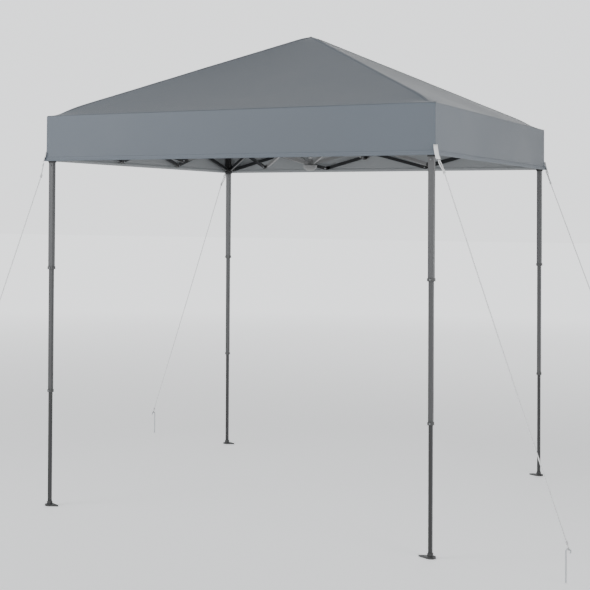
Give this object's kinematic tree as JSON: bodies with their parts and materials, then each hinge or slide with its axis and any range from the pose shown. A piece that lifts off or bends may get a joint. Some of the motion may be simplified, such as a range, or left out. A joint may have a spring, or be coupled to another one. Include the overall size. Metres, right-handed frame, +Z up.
{
  "type": "pop up gazebo",
  "caption": "Square pop up gazebo with a pyramid fabric roof, folding scissor frame, telescopic legs and corner guy ropes.",
  "frame": {"origin": "on the floor under the middle of the roof", "axes": "+X runs along the front side to the right, +Y away from the front, +Z up the centre pole"},
  "size_m": [3.171, 2.157, 2.404],
  "materials": {
    "canopy_fabric": "matte",
    "leg_tube": "satin",
    "truss_bar": "satin",
    "arm_bar": "satin",
    "slider_plastic": "satin",
    "hub_plastic": "satin",
    "guy_rope": "matte"
  },
  "bodies": {
    "upper_hub": {"upper_hub": "hub_plastic", "canopy": "canopy_fabric", "guy_ropes_and_pegs": "guy_rope"},
    "diagonal_inner_climbing_front_right": {"diagonal_inner_climbing_front_right": "arm_bar"},
    "diagonal_outer_falling_front_right": {"diagonal_outer_falling_front_right": "truss_bar"},
    "diagonal_outer_climbing_front_right": {"diagonal_outer_climbing_front_right": "truss_bar"},
    "diagonal_inner_falling_front_right": {"diagonal_inner_falling_front_right": "arm_bar"},
    "leg_outer_front_right": {"leg_outer_front_right": "leg_tube"},
    "leg_slider_front_right": {"leg_slider_front_right": "slider_plastic"},
    "leg_middle_front_right": {"leg_middle_front_right": "leg_tube"},
    "leg_lower_front_right": {"leg_lower_front_right": "leg_tube"},
    "lower_hub": {"lower_hub": "hub_plastic"},
    "diagonal_inner_climbing_front_left": {"diagonal_inner_climbing_front_left": "arm_bar"},
    "diagonal_outer_falling_front_left": {"diagonal_outer_falling_front_left": "truss_bar"},
    "diagonal_outer_climbing_front_left": {"diagonal_outer_climbing_front_left": "truss_bar"},
    "diagonal_inner_falling_front_left": {"diagonal_inner_falling_front_left": "arm_bar"},
    "leg_outer_front_left": {"leg_outer_front_left": "leg_tube"},
    "leg_slider_front_left": {"leg_slider_front_left": "slider_plastic"},
    "leg_middle_front_left": {"leg_middle_front_left": "leg_tube"},
    "leg_lower_front_left": {"leg_lower_front_left": "leg_tube"},
    "diagonal_inner_climbing_back_right": {"diagonal_inner_climbing_back_right": "arm_bar"},
    "diagonal_outer_falling_back_right": {"diagonal_outer_falling_back_right": "truss_bar"},
    "diagonal_outer_climbing_back_right": {"diagonal_outer_climbing_back_right": "truss_bar"},
    "diagonal_inner_falling_back_right": {"diagonal_inner_falling_back_right": "arm_bar"},
    "leg_outer_back_right": {"leg_outer_back_right": "leg_tube"},
    "leg_slider_back_right": {"leg_slider_back_right": "slider_plastic"},
    "leg_middle_back_right": {"leg_middle_back_right": "leg_tube"},
    "leg_lower_back_right": {"leg_lower_back_right": "leg_tube"},
    "diagonal_inner_climbing_back_left": {"diagonal_inner_climbing_back_left": "arm_bar"},
    "diagonal_outer_falling_back_left": {"diagonal_outer_falling_back_left": "truss_bar"},
    "diagonal_outer_climbing_back_left": {"diagonal_outer_climbing_back_left": "truss_bar"},
    "diagonal_inner_falling_back_left": {"diagonal_inner_falling_back_left": "arm_bar"},
    "leg_outer_back_left": {"leg_outer_back_left": "leg_tube"},
    "leg_slider_back_left": {"leg_slider_back_left": "slider_plastic"},
    "leg_middle_back_left": {"leg_middle_back_left": "leg_tube"},
    "leg_lower_back_left": {"leg_lower_back_left": "leg_tube"},
    "front_bar_1_falling": {"front_bar_1_falling": "truss_bar"},
    "front_bar_1_climbing": {"front_bar_1_climbing": "truss_bar"},
    "front_bar_2_falling": {"front_bar_2_falling": "truss_bar"},
    "front_bar_2_climbing": {"front_bar_2_climbing": "truss_bar"},
    "front_bar_3_falling": {"front_bar_3_falling": "truss_bar"},
    "front_bar_3_climbing": {"front_bar_3_climbing": "truss_bar"},
    "right_bar_1_falling": {"right_bar_1_falling": "truss_bar"},
    "right_bar_1_climbing": {"right_bar_1_climbing": "truss_bar"},
    "right_bar_2_falling": {"right_bar_2_falling": "truss_bar"},
    "right_bar_2_climbing": {"right_bar_2_climbing": "truss_bar"},
    "right_bar_3_falling": {"right_bar_3_falling": "truss_bar"},
    "right_bar_3_climbing": {"right_bar_3_climbing": "truss_bar"},
    "back_bar_1_falling": {"back_bar_1_falling": "truss_bar"},
    "back_bar_1_climbing": {"back_bar_1_climbing": "truss_bar"},
    "back_bar_2_falling": {"back_bar_2_falling": "truss_bar"},
    "back_bar_2_climbing": {"back_bar_2_climbing": "truss_bar"},
    "back_bar_3_falling": {"back_bar_3_falling": "truss_bar"},
    "back_bar_3_climbing": {"back_bar_3_climbing": "truss_bar"},
    "left_bar_1_falling": {"left_bar_1_falling": "truss_bar"},
    "left_bar_1_climbing": {"left_bar_1_climbing": "truss_bar"},
    "left_bar_2_falling": {"left_bar_2_falling": "truss_bar"},
    "left_bar_2_climbing": {"left_bar_2_climbing": "truss_bar"},
    "left_bar_3_falling": {"left_bar_3_falling": "truss_bar"},
    "left_bar_3_climbing": {"left_bar_3_climbing": "truss_bar"}
  },
  "joints": [
    {"name": "frame_fold", "type": "hinge", "parent": "upper_hub", "child": "diagonal_inner_climbing_front_right", "pos_m": [0.01768, -0.01768, 1.91187], "axis": [0.7071, 0.7071, 0], "range_deg": [0, 71.5]},
    {"name": "low_node_front_right", "type": "hinge", "parent": "diagonal_inner_climbing_front_right", "child": "diagonal_outer_falling_front_right", "pos_m": [0.49562, -0.49562, 1.72824], "axis": [0.7071, 0.7071, 0], "range_deg": [-143, 0]},
    {"name": "bracket_pivot_front_right", "type": "hinge", "parent": "diagonal_outer_falling_front_right", "child": "leg_outer_front_right", "pos_m": [0.95568, -0.95568, 1.905], "axis": [0.7071, 0.7071, 0], "range_deg": [0, 71.5]},
    {"name": "corner_cross_front_right", "type": "hinge", "parent": "diagonal_outer_falling_front_right", "child": "diagonal_outer_climbing_front_right", "pos_m": [0.73459, -0.73459, 1.82006], "axis": [0.7071, 0.7071, 0], "range_deg": [0, 143]},
    {"name": "slider_pivot_front_right", "type": "hinge", "parent": "diagonal_outer_climbing_front_right", "child": "leg_slider_front_right", "pos_m": [0.95568, -0.95568, 1.73511], "axis": [0.7071, 0.7071, 0], "range_deg": [-71.5, 0]},
    {"name": "hub_cross_front_right", "type": "hinge", "parent": "diagonal_inner_climbing_front_right", "child": "diagonal_inner_falling_front_right", "pos_m": [0.25665, -0.25665, 1.82006], "axis": [0.7071, 0.7071, 0], "range_deg": [-143, 0]},
    {"name": "lower_hub_pivot", "type": "hinge", "parent": "diagonal_inner_falling_front_right", "child": "lower_hub", "pos_m": [0.01768, -0.01768, 1.72824], "axis": [0.7071, 0.7071, 0], "range_deg": [0, 71.5]},
    {"name": "middle_slide_front_right", "type": "slide", "parent": "leg_outer_front_right", "child": "leg_middle_front_right", "axis": [0, 0, 1], "range_m": [0, 0.565]},
    {"name": "lower_slide_front_right", "type": "slide", "parent": "leg_middle_front_right", "child": "leg_lower_front_right", "axis": [0, 0, 1], "range_m": [0, 0.5]},
    {"name": "upper_arm_front_left", "type": "hinge", "parent": "upper_hub", "child": "diagonal_inner_climbing_front_left", "pos_m": [-0.01768, -0.01768, 1.91187], "axis": [0.7071, -0.7071, 0], "range_deg": [0, 71.5]},
    {"name": "low_node_front_left", "type": "hinge", "parent": "diagonal_inner_climbing_front_left", "child": "diagonal_outer_falling_front_left", "pos_m": [-0.49562, -0.49562, 1.72824], "axis": [0.7071, -0.7071, 0], "range_deg": [-143, 0]},
    {"name": "bracket_pivot_front_left", "type": "hinge", "parent": "diagonal_outer_falling_front_left", "child": "leg_outer_front_left", "pos_m": [-0.95568, -0.95568, 1.905], "axis": [0.7071, -0.7071, 0], "range_deg": [0, 71.5]},
    {"name": "corner_cross_front_left", "type": "hinge", "parent": "diagonal_outer_falling_front_left", "child": "diagonal_outer_climbing_front_left", "pos_m": [-0.73459, -0.73459, 1.82006], "axis": [0.7071, -0.7071, 0], "range_deg": [0, 143]},
    {"name": "slider_pivot_front_left", "type": "hinge", "parent": "diagonal_outer_climbing_front_left", "child": "leg_slider_front_left", "pos_m": [-0.95568, -0.95568, 1.73511], "axis": [0.7071, -0.7071, 0], "range_deg": [-71.5, 0]},
    {"name": "hub_cross_front_left", "type": "hinge", "parent": "diagonal_inner_climbing_front_left", "child": "diagonal_inner_falling_front_left", "pos_m": [-0.25665, -0.25665, 1.82006], "axis": [0.7071, -0.7071, 0], "range_deg": [-143, 0]},
    {"name": "middle_slide_front_left", "type": "slide", "parent": "leg_outer_front_left", "child": "leg_middle_front_left", "axis": [0, 0, 1], "range_m": [0, 0.565]},
    {"name": "lower_slide_front_left", "type": "slide", "parent": "leg_middle_front_left", "child": "leg_lower_front_left", "axis": [0, 0, 1], "range_m": [0, 0.5]},
    {"name": "upper_arm_back_right", "type": "hinge", "parent": "upper_hub", "child": "diagonal_inner_climbing_back_right", "pos_m": [0.01768, 0.01768, 1.91187], "axis": [-0.7071, 0.7071, 0], "range_deg": [0, 71.5]},
    {"name": "low_node_back_right", "type": "hinge", "parent": "diagonal_inner_climbing_back_right", "child": "diagonal_outer_falling_back_right", "pos_m": [0.49562, 0.49562, 1.72824], "axis": [-0.7071, 0.7071, 0], "range_deg": [-143, 0]},
    {"name": "bracket_pivot_back_right", "type": "hinge", "parent": "diagonal_outer_falling_back_right", "child": "leg_outer_back_right", "pos_m": [0.95568, 0.95568, 1.905], "axis": [-0.7071, 0.7071, 0], "range_deg": [0, 71.5]},
    {"name": "corner_cross_back_right", "type": "hinge", "parent": "diagonal_outer_falling_back_right", "child": "diagonal_outer_climbing_back_right", "pos_m": [0.73459, 0.73459, 1.82006], "axis": [-0.7071, 0.7071, 0], "range_deg": [0, 143]},
    {"name": "slider_pivot_back_right", "type": "hinge", "parent": "diagonal_outer_climbing_back_right", "child": "leg_slider_back_right", "pos_m": [0.95568, 0.95568, 1.73511], "axis": [-0.7071, 0.7071, 0], "range_deg": [-71.5, 0]},
    {"name": "hub_cross_back_right", "type": "hinge", "parent": "diagonal_inner_climbing_back_right", "child": "diagonal_inner_falling_back_right", "pos_m": [0.25665, 0.25665, 1.82006], "axis": [-0.7071, 0.7071, 0], "range_deg": [-143, 0]},
    {"name": "middle_slide_back_right", "type": "slide", "parent": "leg_outer_back_right", "child": "leg_middle_back_right", "axis": [0, 0, 1], "range_m": [0, 0.565]},
    {"name": "lower_slide_back_right", "type": "slide", "parent": "leg_middle_back_right", "child": "leg_lower_back_right", "axis": [0, 0, 1], "range_m": [0, 0.5]},
    {"name": "upper_arm_back_left", "type": "hinge", "parent": "upper_hub", "child": "diagonal_inner_climbing_back_left", "pos_m": [-0.01768, 0.01768, 1.91187], "axis": [-0.7071, -0.7071, 0], "range_deg": [0, 71.5]},
    {"name": "low_node_back_left", "type": "hinge", "parent": "diagonal_inner_climbing_back_left", "child": "diagonal_outer_falling_back_left", "pos_m": [-0.49562, 0.49562, 1.72824], "axis": [-0.7071, -0.7071, 0], "range_deg": [-143, 0]},
    {"name": "bracket_pivot_back_left", "type": "hinge", "parent": "diagonal_outer_falling_back_left", "child": "leg_outer_back_left", "pos_m": [-0.95568, 0.95568, 1.905], "axis": [-0.7071, -0.7071, 0], "range_deg": [0, 71.5]},
    {"name": "corner_cross_back_left", "type": "hinge", "parent": "diagonal_outer_falling_back_left", "child": "diagonal_outer_climbing_back_left", "pos_m": [-0.73459, 0.73459, 1.82006], "axis": [-0.7071, -0.7071, 0], "range_deg": [0, 143]},
    {"name": "slider_pivot_back_left", "type": "hinge", "parent": "diagonal_outer_climbing_back_left", "child": "leg_slider_back_left", "pos_m": [-0.95568, 0.95568, 1.73511], "axis": [-0.7071, -0.7071, 0], "range_deg": [-71.5, 0]},
    {"name": "hub_cross_back_left", "type": "hinge", "parent": "diagonal_inner_climbing_back_left", "child": "diagonal_inner_falling_back_left", "pos_m": [-0.25665, 0.25665, 1.82006], "axis": [-0.7071, -0.7071, 0], "range_deg": [-143, 0]},
    {"name": "middle_slide_back_left", "type": "slide", "parent": "leg_outer_back_left", "child": "leg_middle_back_left", "axis": [0, 0, 1], "range_m": [0, 0.565]},
    {"name": "lower_slide_back_left", "type": "slide", "parent": "leg_middle_back_left", "child": "leg_lower_back_left", "axis": [0, 0, 1], "range_m": [0, 0.5]},
    {"name": "front_start_pivot", "type": "hinge", "parent": "leg_outer_front_left", "child": "front_bar_1_falling", "pos_m": [-0.938, -0.978, 1.905], "axis": [0, 1, 0], "range_deg": [0, 71.5]},
    {"name": "front_cross_1", "type": "hinge", "parent": "front_bar_1_falling", "child": "front_bar_1_climbing", "pos_m": [-0.62533, -0.978, 1.82006], "axis": [0, 1, 0], "range_deg": [-143, 0]},
    {"name": "front_top_node", "type": "hinge", "parent": "front_bar_1_climbing", "child": "front_bar_2_falling", "pos_m": [-0.31267, -0.978, 1.905], "axis": [0, 1, 0], "range_deg": [0, 143]},
    {"name": "front_low_node", "type": "hinge", "parent": "front_bar_1_falling", "child": "front_bar_2_climbing", "pos_m": [-0.31267, -0.978, 1.73511], "axis": [0, 1, 0], "range_deg": [-143, 0]},
    {"name": "front_end_pivot", "type": "hinge", "parent": "leg_outer_front_right", "child": "front_bar_3_climbing", "pos_m": [0.938, -0.978, 1.905], "axis": [0, 1, 0], "range_deg": [-71.5, 0]},
    {"name": "front_cross_3", "type": "hinge", "parent": "front_bar_3_climbing", "child": "front_bar_3_falling", "pos_m": [0.62533, -0.978, 1.82006], "axis": [0, 1, 0], "range_deg": [0, 143]},
    {"name": "right_start_pivot", "type": "hinge", "parent": "leg_outer_front_right", "child": "right_bar_1_falling", "pos_m": [0.978, -0.938, 1.905], "axis": [-1, 0, 0], "range_deg": [0, 71.5]},
    {"name": "right_cross_1", "type": "hinge", "parent": "right_bar_1_falling", "child": "right_bar_1_climbing", "pos_m": [0.978, -0.62533, 1.82006], "axis": [-1, 0, 0], "range_deg": [-143, 0]},
    {"name": "right_top_node", "type": "hinge", "parent": "right_bar_1_climbing", "child": "right_bar_2_falling", "pos_m": [0.978, -0.31267, 1.905], "axis": [-1, 0, 0], "range_deg": [0, 143]},
    {"name": "right_low_node", "type": "hinge", "parent": "right_bar_1_falling", "child": "right_bar_2_climbing", "pos_m": [0.978, -0.31267, 1.73511], "axis": [-1, 0, 0], "range_deg": [-143, 0]},
    {"name": "right_end_pivot", "type": "hinge", "parent": "leg_outer_back_right", "child": "right_bar_3_climbing", "pos_m": [0.978, 0.938, 1.905], "axis": [-1, 0, 0], "range_deg": [-71.5, 0]},
    {"name": "right_cross_3", "type": "hinge", "parent": "right_bar_3_climbing", "child": "right_bar_3_falling", "pos_m": [0.978, 0.62533, 1.82006], "axis": [-1, 0, 0], "range_deg": [0, 143]},
    {"name": "back_start_pivot", "type": "hinge", "parent": "leg_outer_back_right", "child": "back_bar_1_falling", "pos_m": [0.938, 0.978, 1.905], "axis": [0, -1, 0], "range_deg": [0, 71.5]},
    {"name": "back_cross_1", "type": "hinge", "parent": "back_bar_1_falling", "child": "back_bar_1_climbing", "pos_m": [0.62533, 0.978, 1.82006], "axis": [0, -1, 0], "range_deg": [-143, 0]},
    {"name": "back_top_node", "type": "hinge", "parent": "back_bar_1_climbing", "child": "back_bar_2_falling", "pos_m": [0.31267, 0.978, 1.905], "axis": [0, -1, 0], "range_deg": [0, 143]},
    {"name": "back_low_node", "type": "hinge", "parent": "back_bar_1_falling", "child": "back_bar_2_climbing", "pos_m": [0.31267, 0.978, 1.73511], "axis": [0, -1, 0], "range_deg": [-143, 0]},
    {"name": "back_end_pivot", "type": "hinge", "parent": "leg_outer_back_left", "child": "back_bar_3_climbing", "pos_m": [-0.938, 0.978, 1.905], "axis": [0, -1, 0], "range_deg": [-71.5, 0]},
    {"name": "back_cross_3", "type": "hinge", "parent": "back_bar_3_climbing", "child": "back_bar_3_falling", "pos_m": [-0.62533, 0.978, 1.82006], "axis": [0, -1, 0], "range_deg": [0, 143]},
    {"name": "left_start_pivot", "type": "hinge", "parent": "leg_outer_back_left", "child": "left_bar_1_falling", "pos_m": [-0.978, 0.938, 1.905], "axis": [1, 0, 0], "range_deg": [0, 71.5]},
    {"name": "left_cross_1", "type": "hinge", "parent": "left_bar_1_falling", "child": "left_bar_1_climbing", "pos_m": [-0.978, 0.62533, 1.82006], "axis": [1, 0, 0], "range_deg": [-143, 0]},
    {"name": "left_top_node", "type": "hinge", "parent": "left_bar_1_climbing", "child": "left_bar_2_falling", "pos_m": [-0.978, 0.31267, 1.905], "axis": [1, 0, 0], "range_deg": [0, 143]},
    {"name": "left_low_node", "type": "hinge", "parent": "left_bar_1_falling", "child": "left_bar_2_climbing", "pos_m": [-0.978, 0.31267, 1.73511], "axis": [1, 0, 0], "range_deg": [-143, 0]},
    {"name": "left_end_pivot", "type": "hinge", "parent": "leg_outer_front_left", "child": "left_bar_3_climbing", "pos_m": [-0.978, -0.938, 1.905], "axis": [1, 0, 0], "range_deg": [-71.5, 0]},
    {"name": "left_cross_3", "type": "hinge", "parent": "left_bar_3_climbing", "child": "left_bar_3_falling", "pos_m": [-0.978, -0.62533, 1.82006], "axis": [1, 0, 0], "range_deg": [0, 143]}
  ],
  "couplings": [
    {"joint": "low_node_front_right", "follows": "frame_fold", "ratio": -2},
    {"joint": "bracket_pivot_front_right", "follows": "frame_fold", "ratio": 1},
    {"joint": "corner_cross_front_right", "follows": "frame_fold", "ratio": 2},
    {"joint": "slider_pivot_front_right", "follows": "frame_fold", "ratio": -1},
    {"joint": "hub_cross_front_right", "follows": "frame_fold", "ratio": -2},
    {"joint": "lower_hub_pivot", "follows": "frame_fold", "ratio": 1},
    {"joint": "upper_arm_front_left", "follows": "frame_fold", "ratio": 1},
    {"joint": "low_node_front_left", "follows": "frame_fold", "ratio": -2},
    {"joint": "bracket_pivot_front_left", "follows": "frame_fold", "ratio": 1},
    {"joint": "corner_cross_front_left", "follows": "frame_fold", "ratio": 2},
    {"joint": "slider_pivot_front_left", "follows": "frame_fold", "ratio": -1},
    {"joint": "hub_cross_front_left", "follows": "frame_fold", "ratio": -2},
    {"joint": "upper_arm_back_right", "follows": "frame_fold", "ratio": 1},
    {"joint": "low_node_back_right", "follows": "frame_fold", "ratio": -2},
    {"joint": "bracket_pivot_back_right", "follows": "frame_fold", "ratio": 1},
    {"joint": "corner_cross_back_right", "follows": "frame_fold", "ratio": 2},
    {"joint": "slider_pivot_back_right", "follows": "frame_fold", "ratio": -1},
    {"joint": "hub_cross_back_right", "follows": "frame_fold", "ratio": -2},
    {"joint": "upper_arm_back_left", "follows": "frame_fold", "ratio": 1},
    {"joint": "low_node_back_left", "follows": "frame_fold", "ratio": -2},
    {"joint": "bracket_pivot_back_left", "follows": "frame_fold", "ratio": 1},
    {"joint": "corner_cross_back_left", "follows": "frame_fold", "ratio": 2},
    {"joint": "slider_pivot_back_left", "follows": "frame_fold", "ratio": -1},
    {"joint": "hub_cross_back_left", "follows": "frame_fold", "ratio": -2},
    {"joint": "front_start_pivot", "follows": "frame_fold", "ratio": 1},
    {"joint": "front_cross_1", "follows": "frame_fold", "ratio": -2},
    {"joint": "front_top_node", "follows": "frame_fold", "ratio": 2},
    {"joint": "front_low_node", "follows": "frame_fold", "ratio": -2},
    {"joint": "front_end_pivot", "follows": "frame_fold", "ratio": -1},
    {"joint": "front_cross_3", "follows": "frame_fold", "ratio": 2},
    {"joint": "right_start_pivot", "follows": "frame_fold", "ratio": 1},
    {"joint": "right_cross_1", "follows": "frame_fold", "ratio": -2},
    {"joint": "right_top_node", "follows": "frame_fold", "ratio": 2},
    {"joint": "right_low_node", "follows": "frame_fold", "ratio": -2},
    {"joint": "right_end_pivot", "follows": "frame_fold", "ratio": -1},
    {"joint": "right_cross_3", "follows": "frame_fold", "ratio": 2},
    {"joint": "back_start_pivot", "follows": "frame_fold", "ratio": 1},
    {"joint": "back_cross_1", "follows": "frame_fold", "ratio": -2},
    {"joint": "back_top_node", "follows": "frame_fold", "ratio": 2},
    {"joint": "back_low_node", "follows": "frame_fold", "ratio": -2},
    {"joint": "back_end_pivot", "follows": "frame_fold", "ratio": -1},
    {"joint": "back_cross_3", "follows": "frame_fold", "ratio": 2},
    {"joint": "left_start_pivot", "follows": "frame_fold", "ratio": 1},
    {"joint": "left_cross_1", "follows": "frame_fold", "ratio": -2},
    {"joint": "left_top_node", "follows": "frame_fold", "ratio": 2},
    {"joint": "left_low_node", "follows": "frame_fold", "ratio": -2},
    {"joint": "left_end_pivot", "follows": "frame_fold", "ratio": -1},
    {"joint": "left_cross_3", "follows": "frame_fold", "ratio": 2}
  ]
}
